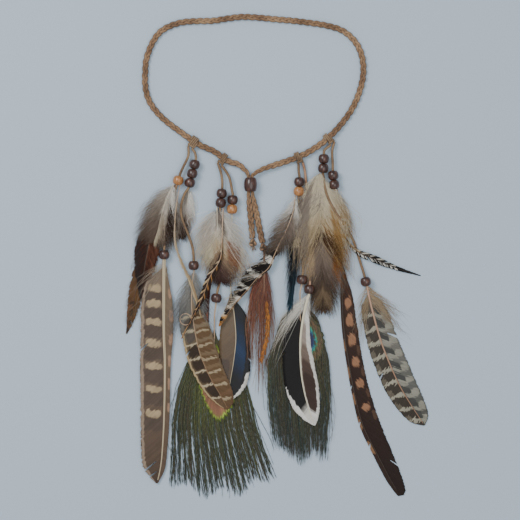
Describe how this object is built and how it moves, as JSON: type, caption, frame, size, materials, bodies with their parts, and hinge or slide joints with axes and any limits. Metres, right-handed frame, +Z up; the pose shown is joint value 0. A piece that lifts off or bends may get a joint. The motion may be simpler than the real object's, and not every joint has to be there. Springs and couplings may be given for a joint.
{
  "type": "feathered headband",
  "caption": "A plaited cord headband with a dark centre bead, hung with beaded cords that end in barred, spotted and downy feathers, lying flat.",
  "frame": {"origin": "middle of the box that holds the part, on the surface that it lies on", "axes": "+Y towards the back of the head loop, +X to the right seen from above, +Z up"},
  "size_m": [0.285, 0.4542, 0.0124],
  "materials": {
    "braid_cord": "plaited tan cord, lightly waxed",
    "hanging_cord": "flat tan cord, lightly waxed",
    "dark_bead": "dark stained wood under gloss lacquer",
    "light_bead": "pale wood with grain under clear lacquer",
    "taupe_vane": "brown-grey feather vane with pale bars",
    "dark_vane": "dark brown to black feather vane",
    "chestnut_vane": "chestnut hackle with a soft sheen",
    "barred_vane": "pale and dark barred feather vane",
    "pale_down": "cream down, matt",
    "smoke_down": "grey-brown down, matt",
    "black_down": "black down, matt",
    "green_herl": "green-bronze herl with a metallic sheen",
    "rust_down": "rust red fringe, matt"
  },
  "bodies": {
    "root": {"barred_hackle": "barred_vane", "bead_a1_1": "light_bead", "bead_a1_lower": "dark_bead", "bead_a2_1": "dark_bead", "bead_a2_2": "dark_bead", "bead_a2_3": "dark_bead", "bead_a2_lower": "dark_bead", "bead_b1_1": "dark_bead", "bead_b1_2": "dark_bead", "bead_b1_lower": "dark_bead", "bead_b2_1": "dark_bead", "bead_b2_2": "light_bead", "bead_c1_1": "dark_bead", "bead_c1_2": "light_bead", "bead_c1_lower": "dark_bead", "bead_c2_1": "dark_bead", "bead_d1_1": "dark_bead", "bead_d1_2": "dark_bead", "bead_d1_lower": "dark_bead", "bead_d2_1": "dark_bead", "bead_d2_2": "dark_bead", "black_plume": "black_down", "black_striped_hackle": "dark_vane", "buff_plume": "pale_down", "centre_bead": "dark_bead", "chestnut_hackle": "chestnut_vane", "chevron_feather": "taupe_vane", "cord_a1": "hanging_cord", "cord_a2": "hanging_cord", "cord_b1": "hanging_cord", "cord_b2": "hanging_cord", "cord_c1": "hanging_cord", "cord_c2": "hanging_cord", "cord_d1": "hanging_cord", "cord_d2": "hanging_cord", "cream_plume": "pale_down", "golden_hackle": "chestnut_vane", "grey_barred_feather": "barred_vane", "headband_braid": "braid_cord", "ivory_hackle": "pale_down", "knot_a": "hanging_cord", "knot_b": "hanging_cord", "knot_c": "hanging_cord", "knot_d": "hanging_cord", "long_barred_feather": "taupe_vane", "maroon_hackle": "chestnut_vane", "peacock_left": "green_herl", "peacock_right": "green_herl", "rust_fringe": "rust_down", "smoke_plume": "smoke_down", "speculum_feather": "dark_vane", "spotted_feather": "dark_vane", "striped_hackle": "barred_vane", "tail_knot_left": "braid_cord", "tail_knot_right": "braid_cord", "tan_plume": "pale_down", "white_black_feather": "barred_vane", "white_plume": "pale_down"}
  },
  "joints": []
}
